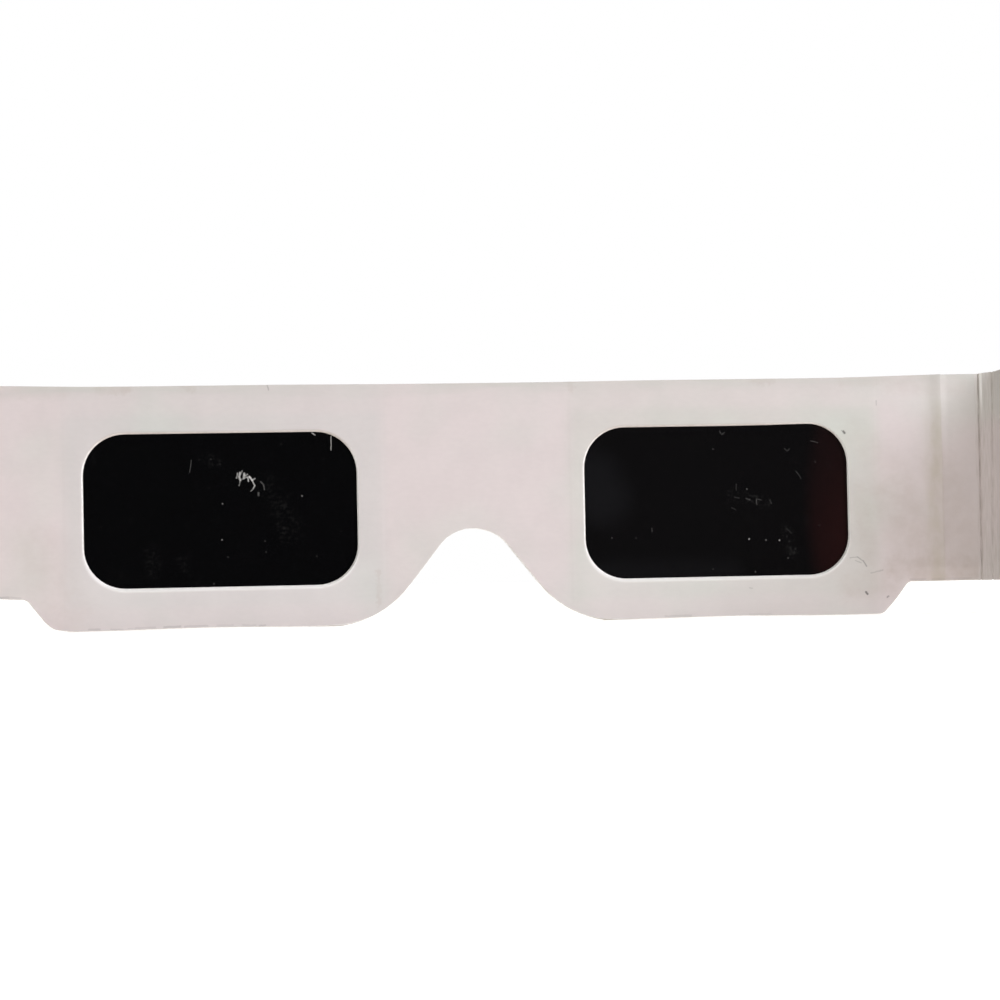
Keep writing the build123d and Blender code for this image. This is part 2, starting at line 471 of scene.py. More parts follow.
def makeCutEdge():
    made, tree, shader, coords = startMaterial(
        "cutEdge", {"Roughness": edgeLook["roughness"], "Specular IOR Level": edgeLook["specular"]}
    )
    torn = spread(tree, lumps(tree, coords, edgeLook["layer"], 4.0), 0.35, 0.65)
    colour = blendColours(tree, torn, linear(edgeLook["shade"]), linear(edgeLook["light"]))
    grey = spread(tree, lumps(tree, coords, 3.5, 3.0), 0.5, 0.75, 0.0, 0.5)
    colour = blendColours(tree, grey, colour, linear(edgeLook["greyTone"]))
    place = addNode(tree, "ShaderNodeSeparateXYZ", {0: coords}).outputs
    # the windows' cut edges get the same painted highlight and shade
    colour = paintRimHighlightsAndShade(tree, place, colour)
    dress(tree, shader, colour, calculate(tree, "MULTIPLY", torn, edgeLook["layerDepth"]))
    return made


cutEdge = makeCutEdge()

# Black polymer film, filled with carbon and rolled smooth: near-black and glossy, faintly
# rippled, with rubbed scratches and dust that catch the light

filmLook = {
    "base": "#050506",
    "rightBase": "#0B0A0B",
    # a painted reflection, faintly red
    "rightReflectionTint": "#221010",
    "reflectionReach": (46.6, 49.2),  # mm to the right, where the painted reflection starts and is full
    # the painted glow of the paler patches
    "paintedGlow": "#1B1B1D",
    "rub": "#D8D6D2",
    "haze": 0.003,       # share of the rubbed tone in faint patches
    "roughness": 0.045,
    "patchRoughness": 0.08,      # where it is most worn
    "ripple": 14.0,      # mm
    "rippleHeight": 0.03,
    "lean": 0.03,        # the film leans back a little, so that it mirrors the room over the floor
}

# Scratches and smears are strokes as above, and a speck of dust is x, z and strength

leftFilmMarks = (
    (-32.30, 5.05, -32.45, 4.40, 0.17, 0.35),
    (-31.93, 5.15, -32.10, 4.60, 0.19, 0.60),
    (-32.10, 4.60, -31.95, 4.05, 0.18, 0.60),
    (-31.95, 4.05, -32.14, 3.35, 0.13, 0.25),
    (-31.66, 5.38, -31.90, 4.90, 0.13, 0.25),
    (-31.41, 5.02, -31.46, 4.40, 0.22, 0.62),
    (-31.46, 4.40, -31.75, 4.25, 0.13, 0.35),
    (-31.24, 4.70, -30.97, 4.88, 0.15, 0.45),
    (-31.20, 4.45, -30.90, 4.50, 0.13, 0.45),
    (-30.89, 4.48, -30.84, 3.95, 0.15, 0.62),
    (-30.67, 4.57, -30.29, 4.03, 0.18, 0.90),
    (-30.30, 4.05, -29.93, 4.29, 0.14, 0.50),
    (-30.30, 4.00, -29.97, 3.32, 0.14, 0.55),
    (-29.97, 3.32, -30.22, 2.89, 0.14, 0.48),
    (-30.22, 2.89, -30.53, 2.58, 0.12, 0.36),
    (-29.15, 3.84, -28.81, 3.48, 0.16, 0.10),
    (-28.81, 3.48, -28.64, 2.73, 0.14, 0.10),
    (-29.49, 2.35, -29.49, 1.95, 0.20, 0.13),
    (-19.35, 10.02, -19.38, 8.08, 0.09, 0.50),
    (-21.95, 10.50, -21.60, 10.20, 0.16, 0.50),
    (-38.62, 6.95, -38.84, 5.30, 0.08, 0.10),
)

leftFilmSmears = (
    (-26.90, 1.90, -25.60, -0.80, 0.8, 0.016),
    (-26.40, -2.00, -25.80, -4.20, 1.1, 0.016),
    (-44.20, -5.60, -43.90, -8.20, 1.5, 0.016),
    (-40.20, -6.50, -39.60, -8.40, 0.9, 0.015),
    (-28.30, 3.60, -24.50, -3.00, 2.2, 0.01),
    (-36.50, 7.00, -35.00, 6.50, 1.4, 0.015),
)

leftFilmDust = (
    (-34.45, 0.86, 0.28), (-34.60, -4.10, 0.32), (-23.50, 1.78, 0.24), (-33.82, -6.45, 0.05),
    (-28.70, -4.35, 0.04), (-28.59, -5.87, 0.05), (-35.92, 7.09, 0.04), (-37.56, 6.98, 0.03),
    (-34.69, 6.38, 0.03), (-36.26, 3.10, 0.02), (-26.27, 9.02, 0.03), (-20.51, 6.85, 0.02),
    (-51.05, -2.01, 0.025), (-21.60, -6.60, 0.04), (-35.80, -10.10, 0.06), (-18.20, -3.20, 0.03),
)

rightFilmMarks = (
    (44.55, 7.35, 44.90, 7.00, 0.12, 0.050),
    (44.90, 7.00, 45.25, 7.25, 0.12, 0.044),
    (46.10, 4.10, 46.50, 3.60, 0.12, 0.044),
    (46.50, 3.60, 46.75, 3.10, 0.12, 0.038),
    (48.40, 8.35, 49.30, 8.10, 0.12, 0.057),
    (37.47, 2.43, 37.50, 1.60, 0.12, 0.032),
    (37.20, 0.60, 37.90, 0.45, 0.12, 0.032),
    (38.90, 0.35, 39.40, 0.15, 0.14, 0.069),
    (40.30, 0.30, 40.35, -0.50, 0.13, 0.063),
    (40.40, 0.25, 41.10, 0.15, 0.12, 0.050),
    (42.30, 0.10, 42.50, -0.40, 0.12, 0.038),
    (36.80, -0.90, 37.30, -1.20, 0.12, 0.032),
    (44.50, -3.90, 45.20, -4.60, 0.22, 0.019),
    (44.90, -6.60, 45.50, -7.60, 0.22, 0.016),
    (35.30, 9.90, 35.60, 9.45, 0.13, 0.069),
    (35.60, 9.45, 35.95, 9.70, 0.13, 0.057),
    (25.35, -4.05, 25.35, -3.60, 0.14, 0.057),
)

rightFilmSmears = (
    (36.80, 1.00, 42.00, -0.30, 1.2, 0.016),
    (44.60, -4.20, 45.50, -7.60, 1.1, 0.02),
)

rightFilmDust = (
    (39.02, 1.70, 0.16), (39.14, -5.34, 0.5), (41.57, -5.53, 0.2), (43.51, -5.57, 0.7),
    (44.67, -8.13, 0.12), (39.96, -10.0, 0.10), (33.91, -9.46, 0.04), (19.66, -4.84, 0.08),
    (23.06, -4.90, 0.04), (34.29, 7.42, 0.08), (48.88, 5.36, 0.05), (49.3, -3.6, 0.03),
)

# patches of painted glow on the right film
rightFilmPaintedGlow = (
    (17.0, 3.4, 18.4, 0.8, 6.0, 0.5),
    (16.0, -10.2, 36.0, -10.4, 3.4, 0.3),
)


def makeFilm(name, marks, smears, dust, paintedGlow=()):
    # a film given painted glow has paler patches and a red tinge at its right end, both painted reflection
    made, tree, shader, coords = startMaterial(name, {"Roughness": filmLook["roughness"], "IOR": 1.5})
    place = addNode(tree, "ShaderNodeSeparateXYZ", {0: coords}).outputs
    colour = linear(filmLook["rightBase" if paintedGlow else "base"])
    if paintedGlow:
        # the film is painted faintly red towards one side, as a painted reflection
        bow = calculate(tree, "POWER", calculate(tree, "ADD", place["Z"], 1.0 * mm), 2.0)
        side = calculate(tree, "SUBTRACT", place["X"], calculate(tree, "MULTIPLY", bow, 9.0))
        start, full = filmLook["reflectionReach"]
        edge = spread(tree, side, start * mm, full * mm)
        low = spread(tree, place["Z"], 9.0 * mm, -7.0 * mm, 0.45, 1.0)
        far = spread(tree, place["X"], 48.0 * mm, 52.5 * mm, 0.6, 1.0)
        red = calculate(tree, "MULTIPLY", edge, calculate(tree, "MULTIPLY", low, far))
        colour = blendColours(tree, red, colour, linear(filmLook["rightReflectionTint"]))
        colour = blendColours(tree, markMask(tree, coords, paintedGlow, 0.5), colour, linear(filmLook["paintedGlow"]))
    spots = tuple((x, z, x, z, 0.16, strength) for x, z, strength in dust)
    rubbed = markMask(tree, coords, marks + spots, 0.08)
    ragged = spread(tree, lumps(tree, coords, 0.22, 2.0), 0.2, 0.6, 0.35, 1.0)
    rubbed = calculate(tree, "MULTIPLY", rubbed, ragged)
    flecked = spread(tree, lumps(tree, coords, 0.4, 3.0), 0.5, 0.72)
    smeared = calculate(tree, "MULTIPLY", markMask(tree, coords, smears, 0.6), flecked)
    haze = spread(tree, lumps(tree, coords, (1.2, 1.2, 3.0), 5.0), 0.62, 0.85, 0.0, filmLook["haze"])
    share = calculate(tree, "MAXIMUM", rubbed, calculate(tree, "MAXIMUM", haze, smeared))
    colour = blendColours(tree, share, colour, linear(filmLook["rub"]))
    patches = lumps(tree, coords, (6.0, 6.0, 2.5), 4.0)
    patches = spread(tree, patches, 0.45, 0.75, filmLook["roughness"], filmLook["patchRoughness"])
    rough = calculate(tree, "MAXIMUM", patches, share)
    tree.links.new(rough.outputs[0], shader.inputs["Roughness"])
    ripple = lumps(tree, coords, filmLook["ripple"], 1.0)
    ripple = calculate(tree, "MULTIPLY", ripple, filmLook["rippleHeight"])
    lean = calculate(tree, "MULTIPLY", place["Z"], filmLook["lean"] / mm)
    dress(tree, shader, colour, calculate(tree, "SUBTRACT", ripple, lean))
    return made


leftFilm = makeFilm("blackFilmLeft", leftFilmMarks, leftFilmSmears, leftFilmDust)
rightFilm = makeFilm("blackFilmRight", rightFilmMarks, rightFilmSmears, rightFilmDust, rightFilmPaintedGlow)

# Dried white glue: yellowish, slightly glossy, drawn into strings as the cards were pressed

glueLook = {
    "strings": (3.0, 1.0, 0.8),  # mm
    "stringDepth": 0.04,
    "shade": "#DAD5C6",
    "light": "#E9E6DC",
    "roughness": 0.4,
}


def makeGlue():
    made, tree, shader, coords = startMaterial("driedGlue", {"Roughness": glueLook["roughness"]})
    strings = spread(tree, lumps(tree, coords, glueLook["strings"], 3.0), 0.35, 0.65)
    colour = blendColours(tree, strings, linear(glueLook["shade"]), linear(glueLook["light"]))
    dress(tree, shader, colour, calculate(tree, "MULTIPLY", strings, glueLook["stringDepth"]))
    return made


driedGlue = makeGlue()
print("materials made")


def ramp(value, start, end):
    # value's course from start to end, eased, as 0 to 1
    share = min(max((value - start) / (end - start), 0.0), 1.0)
    return share * share * (3 - 2 * share)


def windowGap(x, z):
    # mm from the nearer window's opening, outwards
    dx = abs(abs(x) - window["centre"]) - (window["halfWidth"] - window["radius"])
    dz = abs(z) - (window["halfHeight"] - window["radius"])
    return math.hypot(max(dx, 0), max(dz, 0)) + min(max(dx, dz), 0) - window["radius"]


# The card sheets: copies of the CAD sheets, cut finer, with rounded edges and the shape
# that handling gave them

sheetShape = {
    "edgeRound": 0.06,   # mm
    "rimRings": (0.12, 0.14),
    "rimWidth": 0.38,    # mm of the window's edge that rolls down towards the film
    "rimDrop": 0.08,     # mm
    "rimLeft": 0.064,    # mm more on the left, and less on the right
    "rimBelow": 0.08,    # mm more below, and less above
    "rimCurve": 1.6,
    "curlDepth": 0.30,   # mm that the lower edge bends back beside the right crease
    "curlReach": 1.9,
    "endWander": 0.16,   # mm that the liner's ends stray from straight
    "liftHeight": 0.26,  # mm that the liner's end has come away
    "liftReach": 1.9,
    "pressHeight": 0.17,  # mm that the outer card follows the liner's end
    "pressReach": 1.1,
    "glueHeight": 0.05,  # mm that the glue follows it
}

# How many mm the real outline strays from the drawn one, after a hand-set die and handling

strays = {
    "endRise": 0.36,     # the top edge, towards both creases
    "middleDrop": 0.10,  # and in its middle
    "windowGrowth": 0.10,
    "windowTilt": 0.16,  # the right window's top, towards its outer end
    "flankWide": 0.33,   # the notch's right flank
    "stepWide": 0.45,    # the step beside the right window
    "stepWider": 0.20,   # and what its upper part adds
    "notchTop": 0.16,    # upwards
    "lobeRise": 0.18,    # the lower edge below the windows
    "cornerRound": 0.32,  # the left lobe's outer corner
    "leftEndRise": 0.14,  # the lower edge beside the left crease
    "pliesApart": 0.20,  # the liner above the outer card, at the feet of the notch
}

# The creases: a band of crushed card with a bead between two score lines

crease = {
    "beadMiddle": -0.25,  # mm, from the band's middle, away from the front
    "beadHalf": 0.9,
    "beadHeight": 0.22,
    "scores": (-1.28, 0.55),   # the front's side first, at half height
    "drifts": (0.005, 0.021),  # mm that each moves per mm upwards
    "scoreDepths": (0.16, 0.08),
    # shares of painted shade in the two scores
    "scoreShadeShares": (0.22, 0.12),
    "scoreHalf": 0.15,
    "scoreDip": 0.07,    # mm that the scores dent the upper and lower edges
    "outsideGroove": 0.16,
    "grooveHalf": 0.5,
    "wander": 0.05,      # mm that the lines stray sideways
    "crush": 0.05,       # mm that the bead is crushed up and down
    "reachIn": 0.55,     # mm of the front's end that the skin takes over
    "rootRise": 0.30,
    "across": 40,
    "upright": 64,
}


def curl(x, z):
    # the lower edge beside the right crease bends away from the wearer
    share = min(max((stepEdge + sheetShape["curlReach"] - z) / sheetShape["curlReach"], 0.0), 1.2)
    return -sheetShape["curlDepth"] * ramp(x, 60.0, 62.5) * share


def endPlace(x, z):
    # mm past the liner's end, which isn't quite straight
    row = 4.0 if x > 0 else 9.0
    return abs(x) - linerEnd + sheetShape["endWander"] * noise.noise(Vector((0.0, row, z / 5.0)))


def linerRise(x, z):
    fade = 0.55 + 0.45 * ramp(z, -8.0, 10.0)
    lift = sheetShape["liftHeight"] * fade * ramp(endPlace(x, z), -sheetShape["liftReach"], 0.0)
    return curl(x, z) + lift


def outerRise(x, z):
    fade = 0.35 + 0.65 * ramp(z, -6.0, 12.0)
    past = endPlace(x, z) / sheetShape["pressReach"]
    slope = min(max(1 - past, 0.0), 1.0)
    return curl(x, z) + sheetShape["pressHeight"] * fade * slope * ramp(past, -2.0, 0.0)


def glueRise(x, z):
    lift = sheetShape["glueHeight"] * ramp(endPlace(x, z), -sheetShape["liftReach"], 0.0)
    return curl(x, z) + lift


def handCut(x, z):
    # how far the real outline strays from the drawn one, sideways and upwards
    shiftX = 0.0
    shiftZ = strays["endRise"] * ramp(z, -8.0, 12.0) * ramp(abs(x), 48.0, 72.0)
    shiftZ -= strays["middleDrop"] * ramp(abs(x), 28.0, 8.0) * ramp(z, 8.0, 16.0)
    shiftZ += strays["notchTop"] * ramp(abs(x), 8.0, 0.0) * ramp(z, -1.0, -2.5) * ramp(z, -8.0, -5.0)
    shiftZ += strays["lobeRise"] * ramp(abs(abs(x) - 36.0), 16.0, 0.0) * ramp(z, -13.0, -15.0)
    shiftZ += strays["cornerRound"] * ramp(abs(x + 57.9), 3.0, 0.0) * ramp(z, -15.0, -16.0)
    shiftZ += strays["leftEndRise"] * ramp(x, -62.0, -65.0) * ramp(z, -8.0, -11.0)
    gap = windowGap(x, z)
    if gap < 1.5:
        around = Vector((abs(x) - window["centre"], z))
        corner = Vector((window["halfWidth"], window["halfHeight"])) - Vector((window["radius"],) * 2)
        out = Vector((max(abs(around.x) - corner.x, 0.0), max(abs(around.y) - corner.y, 0.0)))
        if out.length:
            near = ramp(gap, 1.5, 0.0)
            out = out.normalized() * strays["windowGrowth"] * near
            shiftX += math.copysign(out.x, around.x * x)
            shiftZ += out.y if around.y > 0 else 0.0
            shiftZ += strays["windowTilt"] * ramp(x, 38.0, 50.0) * near if z > 0 else 0.0
    if x > 0 and z < -2.0:
        # mm square to the notch's right flank, which falls at 51.5 degrees
        flank = 0.783 * x + 0.623 * z
        shiftX += strays["flankWide"] * ramp(x, 0.0, 4.0) * ramp(flank, 8.0, 3.0) * ramp(z, -2.0, -4.0)
        beside = ramp(x, 51.0, 56.0) * ramp(x, 67.0, 63.0) * ramp(z, -9.0, -11.5)
        shiftX += (strays["stepWide"] + strays["stepWider"] * ramp(z, -15.8, -14.3)) * beside
    return shiftX, shiftZ


def cleanCopy(node):
    # a CAD node's mesh with its doubles merged and its flat faces whole
    shape = bmesh.new()
    shape.from_mesh(frame["nodes"][node].data)
    bmesh.ops.remove_doubles(shape, verts=shape.verts, dist=0.001 * mm)
    bmesh.ops.dissolve_limit(shape, angle_limit=math.radians(0.2), verts=shape.verts, edges=shape.edges)
    return shape


def cutAcross(shape, axis, places):
    for place in places:
        everything = shape.verts[:] + shape.edges[:] + shape.faces[:]
        bmesh.ops.bisect_plane(
            shape,
            geom=everything,
            dist=0.0001 * mm,
            plane_co=axis * place * mm,
            plane_no=axis,
        )


def trimEnds(shape, newEnd):
    # takes both ends off the sheet, where the creases' skins begin
    for side in (1, -1):
        everything = shape.verts[:] + shape.edges[:] + shape.faces[:]
        cut = bmesh.ops.bisect_plane(
            shape,
            geom=everything,
            dist=0.0001 * mm,
            plane_co=alongX * side * newEnd * mm,
            plane_no=alongX * side,
            clear_outer=True,
        )
        rim = [made for made in cut["geom_cut"] if isinstance(made, bmesh.types.BMEdge)]
        bmesh.ops.edgeloop_fill(shape, edges=rim)
    bmesh.ops.recalc_face_normals(shape, faces=shape.faces)


def roundOutline(shape, isJoint):
    # rounds the outline's sharp edges, but not those where the sheet goes on in a crease
    sharp = [
        edge
        for edge in shape.edges
        if len(edge.link_faces) == 2
        and edge.calc_face_angle() > math.radians(60)
        and not all(isJoint(vertex.co / mm) for vertex in edge.verts)
    ]
    bmesh.ops.bevel(
        shape,
        geom=sharp,
        offset=sheetShape["edgeRound"] * mm,
        affect="EDGES",
        segments=2,
        profile=0.5,
        material=-1,
        clamp_overlap=True,
    )


def rimDepth(x, z):
    # the die pressed the left and lower rims down, and hardly the others
    across = (abs(x) - window["centre"]) * math.copysign(1, x) / window["halfWidth"]
    up = z / window["halfHeight"]
    steep = Vector((across ** 5, up ** 5))
    steep = steep.normalized() if steep.length else steep
    return sheetShape["rimDrop"] - sheetShape["rimLeft"] * steep.x - sheetShape["rimBelow"] * steep.y


def rollWindowRims(shape, side):
    # side is -1 where the rims roll down from the wearer's face, and 1 from the sun's
    flat = [face for face in shape.faces if face.normal.y * side > 0.99]
    for ring in sheetShape["rimRings"]:
        bmesh.ops.inset_region(
            shape, faces=flat, thickness=ring * mm, use_boundary=True, use_even_offset=True
        )
    level = max(vertex.co.y * side for face in flat for vertex in face.verts)
    for vertex in shape.verts:
        x, z = vertex.co.x / mm, vertex.co.z / mm
        gap = windowGap(x, z)
        if vertex.co.y * side > level - 0.15 * mm and gap < sheetShape["rimWidth"]:
            share = (1 - max(gap, 0.0) / sheetShape["rimWidth"]) ** sheetShape["rimCurve"]
            vertex.co.y -= side * rimDepth(x, z) * share * mm


def finishSheet(shape, name, wearerWay, materials, body, node):
    # faces to the wearer, to the sun and on the edges get the three materials in turn
    for face in shape.faces:
        face.normal_update()
        facing = face.normal.dot(wearerWay)
        face.material_index = 0 if facing > 0.93 else 1 if facing < -0.93 else 2
        face.smooth = True
    for edge in shape.edges:
        if len(edge.link_faces) == 2:
            first, second = edge.link_faces
            alike = first.material_index == second.material_index
            edge.smooth = alike and edge.calc_face_angle() < math.radians(35)
    data = bpy.data.meshes.new(name)
    shape.to_mesh(data)
    shape.free()
    for material in materials:
        data.materials.append(material)
    piece = bpy.data.objects.new(name, data)
    bpy.context.scene.collection.objects.link(piece)
    if body:
        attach(piece, body)
    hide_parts(node)
    return piece


towardsWearer = Vector((0, -1, 0))
alongX = Vector((1, 0, 0))
upwards = Vector((0, 0, 1))

# Where the sheets are cut across, in mm, so that they can bend there

endCuts = [side * (57.5 + 0.65 * step) for side in (-1, 1) for step in range(-5, 24)]
endCuts += [side * (linerEnd + 0.13 + 0.22 * step) for side in (-1, 1) for step in range(-3, 7)]
lobeCuts = [side * (2.0 + 5.0 * step) for side in (-1, 1) for step in range(11)]
edgeCuts = [stepEdge + 0.35 * step for step in range(1, 8)] + [-6.0, -2.0, 2.0, 6.0, 10.0, 14.0]


def makeOuterFront():
    shape = cleanCopy("outer_front")
    newEnd = frontEnd - crease["reachIn"]
    trimEnds(shape, newEnd)
    roundOutline(shape, lambda place: abs(place.x) > newEnd - 0.01)
    rollWindowRims(shape, 1)
    cutAcross(shape, alongX, [place for place in endCuts + lobeCuts if abs(place) < newEnd - 0.1])
    cutAcross(shape, upwards, edgeCuts)
    for vertex in shape.verts:
        x, z = vertex.co.x / mm, vertex.co.z / mm
        shiftX, shiftZ = handCut(x, z)
        vertex.co += Vector((shiftX, -outerRise(x, z), shiftZ)) * mm
    finishSheet(
        shape,
        "outer_card_front",
        towardsWearer,
        (linerBoard, coatedBoard, cutEdge),
        "front",
        "outer_front",
    )


def makeLiner():
    shape = cleanCopy("wearer_liner")
    roundOutline(shape, lambda place: abs(place.x) > linerEnd - 0.01)
    rollWindowRims(shape, -1)
    cutAcross(shape, alongX, [place for place in endCuts + lobeCuts if abs(place) < linerEnd - 0.1])
    cutAcross(shape, upwards, edgeCuts)
    for vertex in shape.verts:
        x, z = vertex.co.x / mm, vertex.co.z / mm
        shiftX, shiftZ = handCut(x, z)
        vertex.co += Vector((shiftX, -linerRise(x, z), shiftZ)) * mm
        # the two plies don't quite meet along the lower edge, at the feet of the notch
        if z < -15.0:
            apart = math.exp(-(((x + 18.0) / 2.6) ** 2)) + math.exp(-(((x - 18.6) / 2.2) ** 2))
            vertex.co.z += strays["pliesApart"] * apart * mm
    finishSheet(
        shape,
        "liner_card",
        towardsWearer,
        (linerBoard, plainBoard, cutEdge),
        "front",
        "wearer_liner",
    )


def makeGlueSpread():
    shape = cleanCopy("glue_layer")
    cutAcross(shape, alongX, endCuts)
    cutAcross(shape, upwards, edgeCuts)
    for vertex in shape.verts:
        vertex.co.y -= glueRise(vertex.co.x / mm, vertex.co.z / mm) * mm
    finishSheet(shape, "glue_spread", towardsWearer, (driedGlue,) * 3, "front", "glue_layer")


makeOuterFront()
makeLiner()
makeGlueSpread()
for node, film in (("left_filter", leftFilm), ("right_filter", rightFilm)):
    frame["nodes"][node].data.materials.clear()
    frame["nodes"][node].data.materials.append(film)
print("front made")


def makeArm(side):
    name = "right" if side > 0 else "left"
    shape = cleanCopy(name + "_arm")
    away = Vector((side * math.cos(restFold), -math.sin(restFold), 0))
    pivot = pivots[name + "_fold"]
    root = min((vertex.co / mm - pivot).dot(away) for vertex in shape.verts)
    roundOutline(shape, lambda place: (place - pivot).dot(away) < root + 0.01)
    cutAcross(shape, upwards, (-6.0, 0.0, 6.0, 12.0))
    for vertex in shape.verts:
        # the root stands as high as the raised end of the front's top edge
        along = (vertex.co / mm - pivot).dot(away)
        vertex.co.z += handCut(frontEnd, vertex.co.z / mm)[1] * ramp(along, 40.0, 0.0) * mm
    wearerWay = Vector((-side * math.sin(restFold), -math.cos(restFold), 0))
    finishSheet(
        shape,
        name + "_arm_card",
        wearerWay,
        (plainBoard, coatedBoard, cutEdge),
        name + "_arm_body",
        name + "_arm",
    )


for side in (1, -1):
    makeArm(side)
print("arms made")

# The same board where the score rule crushed it: streaky, greyer, its fibres broken upright

creasedLook = {
    "fibre": (0.5, 0.5, 1.8),    # mm
    "streak": (0.22, 3.0, 1.0),
    "streakTone": "#B3A99D",
    "crushed": (0.25, 1.5, 1.0),
    "crushedDepth": 0.025,
    # the painted shade in the scores, then the painted highlight on the bead
    "scoreShade": "#857A70",
    "beadHighlight": "#FFFCF8",
    "beadHighlightReach": (7.5, 12.5),  # mm up, where the painted highlight starts and is full
    "roughness": 0.85,
    "specular": 0.25,
}


def makeCreasedBoard():
    made, tree, shader, coords = startMaterial(
        "creasedBoard",
        {"Roughness": creasedLook["roughness"], "Specular IOR Level": creasedLook["specular"]},
    )
    strip = addNode(tree, "ShaderNodeUVMap", {}, uv_map="alongCrease").outputs[0]
    place = addNode(tree, "ShaderNodeSeparateXYZ", {0: strip}).outputs
    colour = boardColour(tree, coords, boardLook, creasedLook["fibre"])[0]
    streaks = spread(tree, lumps(tree, strip, creasedLook["streak"], 3.0), 0.35, 0.7, 0.0, 0.28)
    colour = blendColours(tree, streaks, colour, linear(creasedLook["streakTone"]))
    # the scores are darkened with painted shade, and the bead's side is whitened near its top as a painted
    # highlight
    for score, drift, share in zip(crease["scores"], crease["drifts"], crease["scoreShadeShares"]):
        line = calculate(tree, "ADD", calculate(tree, "MULTIPLY", place["Y"], drift), score * mm)
        off = calculate(tree, "ABSOLUTE", calculate(tree, "SUBTRACT", place["X"], line), 0)
        broken = spread(tree, lumps(tree, strip, (1.0, 2.2, 1.0), 3.0), 0.35, 0.65, 0.2 * share, 1.4 * share)
        scoreShade = calculate(tree, "MULTIPLY", spread(tree, off, 0.19 * mm, 0.06 * mm), broken)
        colour = blendColours(tree, scoreShade, colour, linear(creasedLook["scoreShade"]))
    side = calculate(tree, "SUBTRACT", place["X"], (crease["scores"][0] + 0.42) * mm)
    highlighted = spread(tree, calculate(tree, "ABSOLUTE", side, 0), 0.28 * mm, 0.1 * mm)
    start, full = creasedLook["beadHighlightReach"]
    high = spread(tree, place["Y"], start * mm, full * mm, 0.0, 0.8)
    highlighted = calculate(tree, "MULTIPLY", highlighted, high)
    colour = blendColours(tree, highlighted, colour, linear(creasedLook["beadHighlight"]))
    crushed = lumps(tree, strip, creasedLook["crushed"], 3.0)
    dress(tree, shader, colour, calculate(tree, "MULTIPLY", crushed, creasedLook["crushedDepth"]))
    return made


creasedBoard = makeCreasedBoard()


def makeCrease(side):
    name = "right" if side > 0 else "left"
    pivot = pivots[name + "_fold"]
    # the band's arc at rest, as in the CAD, in mm
    halfTurn = math.tan(restFold / 2)
    reach = abs(pivot.x) - frontEnd
    radius = (reach + (-pivot.y - card / 2) * halfTurn) / halfTurn
    length = radius * restFold

    def alongBand(across):
        # mm from the band's middle: across runs from -0.5 to 0.5
        return -length / 2 - crease["reachIn"] + (across + 0.5) * (length + crease["reachIn"])

    def skinPoint(across, up, outside):
        # a point of the skin: across and up run from -0.5 to 0.5
        along = alongBand(across)
        height = stepEdge + (up + 0.5) * (topEdge - stepEdge)
        wander = crease["wander"] * noise.noise(Vector((3.0 * side, 0.0, height / 4.0)))
        place = along + wander * (1 - (2 * across) ** 2)
        bead = max(1 - ((place - crease["beadMiddle"]) / crease["beadHalf"]) ** 2, 0.0) ** 0.8
        score, groove = 0.0, 0.0
        for middle, drift, depth in zip(crease["scores"], crease["drifts"], crease["scoreDepths"]):
            off = place - middle - drift * up * (topEdge - stepEdge)
            share = max(1 - (off / crease["scoreHalf"]) ** 2, 0.0)
            score, groove = max(score, share), max(groove, depth * share)
        crush = crease["crush"] * noise.noise(Vector((place / 0.3, 7.0 * side, height / 2.2)))
        if outside:
            level = -card / 2 + crease["outsideGroove"] * max(1 - (place / crease["grooveHalf"]) ** 2, 0.0)
        else:
            level = card / 2 + crease["beadHeight"] * bead - groove + crush * bead
        level += curl(frontEnd, height) * (0.5 - across) if side > 0 else 0
        turn = max(along / length + 0.5, 0.0) * restFold
        x = frontEnd + min(along + length / 2, 0.0) + (radius - level) * math.sin(turn)
        y = -card / 2 - radius * (1 - math.cos(turn)) - level * math.cos(turn)
        rise = crease["rootRise"] * (across + 0.5) * (up + 0.5)
        dip = crease["scoreDip"] * score * (2 * up) ** 9
        lift = handCut(frontEnd, height)[1]
        return Vector((side * x, y, height + rise + lift - dip)) * mm

    shape = bmesh.new()
    bmesh.ops.create_grid(shape, x_segments=crease["across"], y_segments=crease["upright"], size=0.5)
    strip = shape.loops.layers.uv.new("alongCrease")
    grown = bmesh.ops.extrude_face_region(shape, geom=shape.faces[:], use_keep_orig=True)
    for made in grown["geom"]:
        if isinstance(made, bmesh.types.BMVert):
            made.co.z = 1
    for face in shape.faces:
        for loop in face.loops:
            place = loop.vert.co
            loop[strip].uv = (alongBand(place.x) * mm, place.y * (topEdge - stepEdge) * mm)
    for vertex in shape.verts:
        vertex.co = skinPoint(vertex.co.x, vertex.co.y, vertex.co.z > 0.5)
    bmesh.ops.recalc_face_normals(shape, faces=shape.faces)
    middle = Vector((-side * math.sin(restFold / 2), -math.cos(restFold / 2), 0))
    piece = finishSheet(
        shape,
        name + "_crease_skin",
        middle,
        (creasedBoard, coatedBoard, creasedBoard),
        None,
        name + "_crease",
    )
    # the skin turns from just past the front's end to just before the arm's root
    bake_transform(piece)


for side in (1, -1):
    makeCrease(side)
print("creases made")

# Studio: a pale floor that glows, a key light low on the wearer's right, so that the right
# arm shades the front beside its crease, and soft fill

studio = {
    "floorHalf": 1.15,       # metres
    "floorColour": "#F5F4F3",
    "floorPatches": "#F9F9F8",
    "seen": 1.0,             # the background's brightness to the camera
    "fill": 0.08,
    "fillColour": "#FFFAF0",
    "glossy": 0.03,          # a dark room behind the camera, as the film shows
    "glowColour": "#FFFDF8",
    "glow": 0.40,            # the floor's own light, as of a lit table, near the object
    "nearGlow": 0.43,        # and right under it, where the object takes light away
    "nearReach": (0.22, 0.10),   # metres, where that starts and is full
    "farGlow": 0.95,         # and at its edges, so that it meets the white room unseen
    "farReach": (0.45, 1.10),
}

# Each light's name, kind, place in metres, power in watts, and settings

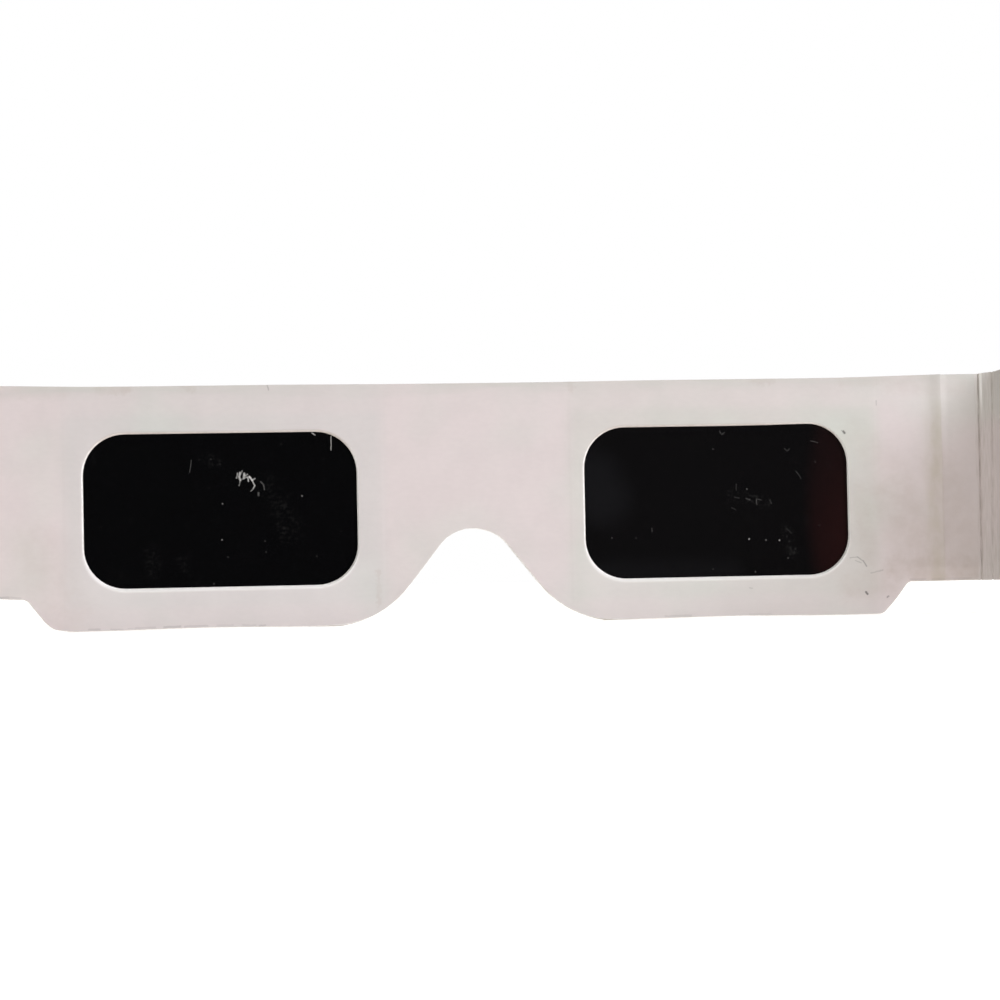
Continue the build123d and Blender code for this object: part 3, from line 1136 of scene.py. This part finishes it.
lights = (
    ("key", "POINT", (1.40, -0.77, 0.26), 96.0, {"shadow_soft_size": 0.15, "color": (0.9, 0.92, 1.0)}),
    ("top", "AREA", (0.0, 0.06, 1.5), 11.5, {"shape": "DISK", "size": 0.9, "color": (1.0, 0.97, 0.92)}),
    ("back", "AREA", (-0.5, 0.9, 1.5), 8.0, {"shape": "DISK", "size": 0.8}),
)


def makeFloor():
    shape = bmesh.new()
    bmesh.ops.create_grid(shape, x_segments=1, y_segments=1, size=studio["floorHalf"])
    bmesh.ops.translate(shape, verts=shape.verts, vec=(0, 0, cadBox[0].z))
    data = bpy.data.meshes.new("floor")
    shape.to_mesh(data)
    shape.free()
    made, tree, shader, coords = startMaterial(
        "paleFloor",
        {"Roughness": 0.9, "Specular IOR Level": 0.0, "Emission Color": linear(studio["glowColour"])},
    )
    patches = lumps(tree, coords, 60.0)
    colour = blendColours(tree, patches, linear(studio["floorColour"]), linear(studio["floorPatches"]))
    tree.links.new(colour, shader.inputs["Base Color"])
    away = addNode(tree, "ShaderNodeVectorMath", {0: coords}, operation="LENGTH").outputs["Value"]
    near = spread(tree, away, *studio["nearReach"], studio["glow"], studio["nearGlow"])
    far = spread(tree, away, *studio["farReach"], 0.0, studio["farGlow"] - studio["glow"])
    tree.links.new(calculate(tree, "ADD", near, far).outputs[0], shader.inputs["Emission Strength"])
    data.materials.append(made)
    floor = bpy.data.objects.new("floor", data)
    bpy.context.scene.collection.objects.link(floor)


def makeWorld():
    world = bpy.data.worlds.new("studio")
    world.use_nodes = True
    tree = world.node_tree
    tree.nodes.clear()
    ray = addNode(tree, "ShaderNodeLightPath", {})
    fillColour = linear(studio["fillColour"])
    seen = addNode(tree, "ShaderNodeBackground", {"Color": (1, 1, 1, 1), "Strength": studio["seen"]})
    fill = addNode(tree, "ShaderNodeBackground", {"Color": fillColour, "Strength": studio["fill"]})
    dark = addNode(tree, "ShaderNodeBackground", {"Color": (1, 1, 1, 1), "Strength": studio["glossy"]})
    lit = addNode(tree, "ShaderNodeMixShader", {0: ray.outputs["Is Glossy Ray"], 1: fill, 2: dark})
    both = addNode(tree, "ShaderNodeMixShader", {0: ray.outputs["Is Camera Ray"], 1: lit, 2: seen})
    addNode(tree, "ShaderNodeOutputWorld", {0: both})
    bpy.context.scene.world = world


def addLight(name, kind, place, energy, settings):
    # a light aimed at the object's middle, which the camera doesn't see
    data = bpy.data.lights.new(name, kind)
    data.energy = energy
    for setting, value in settings.items():
        setattr(data, setting, value)
    holder = bpy.data.objects.new(name, data)
    aim = (-Vector(place)).to_track_quat("-Z", "Y").to_matrix().to_4x4()
    holder.matrix_world = Matrix.Translation(Vector(place)) @ aim
    holder.visible_camera = False
    bpy.context.scene.collection.objects.link(holder)


makeFloor()
makeWorld()
for light in lights:
    addLight(*light)
bpy.context.scene.view_settings.view_transform = "Standard"
print("studio made")
